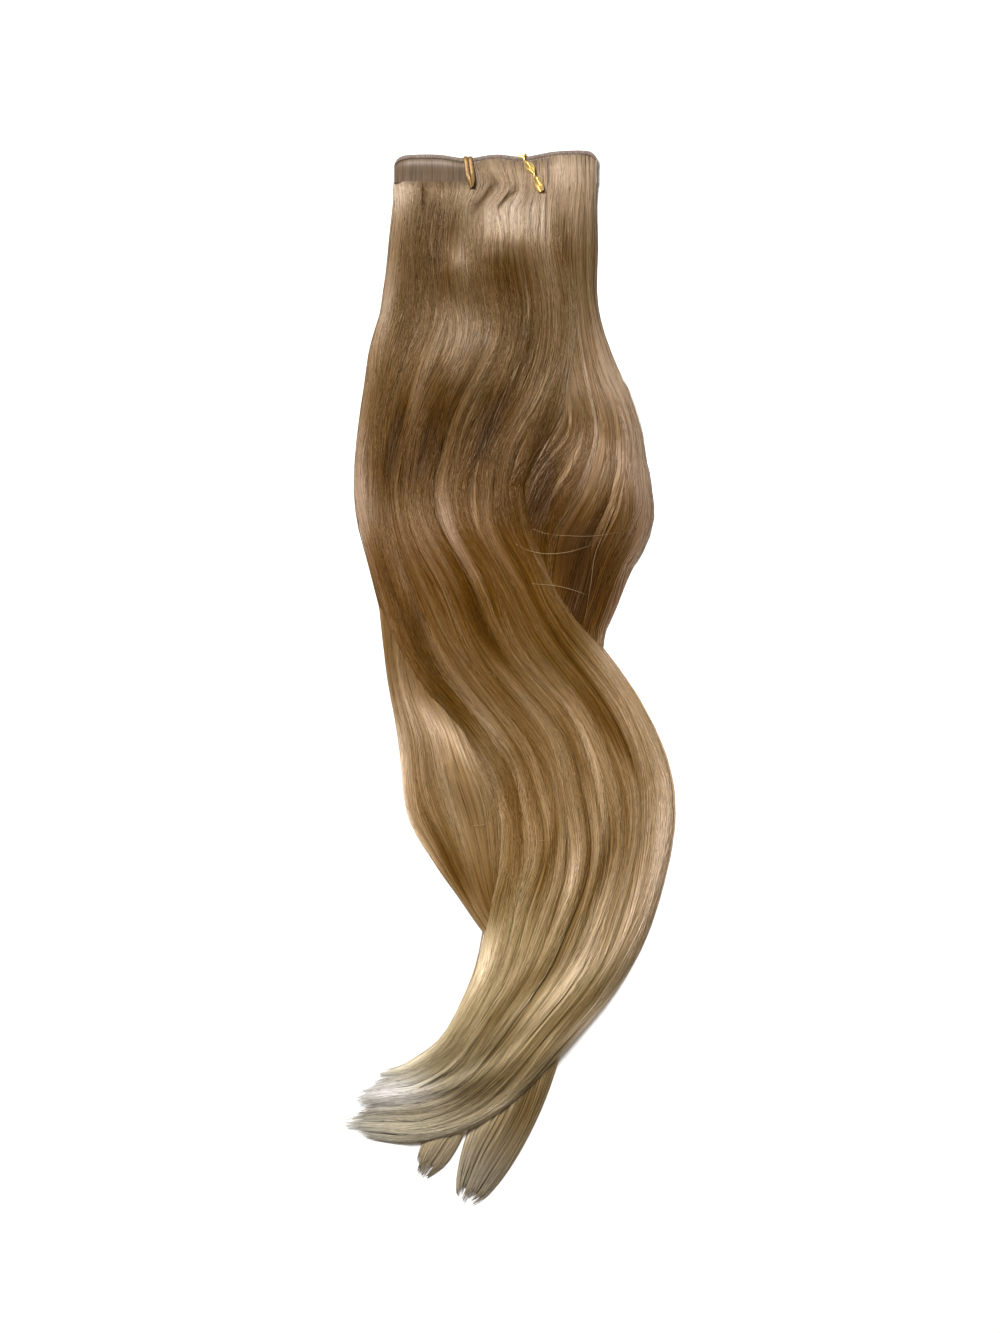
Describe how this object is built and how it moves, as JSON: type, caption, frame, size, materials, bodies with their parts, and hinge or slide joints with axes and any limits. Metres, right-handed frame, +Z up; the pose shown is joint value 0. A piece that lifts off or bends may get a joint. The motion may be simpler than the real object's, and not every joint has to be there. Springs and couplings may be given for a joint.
{
  "type": "clip-in hair extension",
  "caption": "Long wavy hair extension lying flat: blended brown to pale blonde locks on a sewn, folded weft with gold ties and hidden clips.",
  "frame": {"origin": "middle of the underside of the whole extension's box, on the surface it lies on", "axes": "+X along the weft to the right of the picture, +Y from the tips to the weft's track, +Z up from the surface"},
  "size_m": [0.165, 0.5296, 0.0229],
  "materials": {
    "hair": "satin",
    "track": "matte",
    "band": "matte",
    "gold": "polished",
    "clip": "satin"
  },
  "bodies": {
    "root": {"weft_track": "track", "weft_band": "band", "lock_main": "hair", "lock_right": "hair", "lock_left": "hair", "tie_left": "gold", "tie_right": "gold", "clip_left": "clip", "clip_right": "clip"}
  },
  "joints": []
}
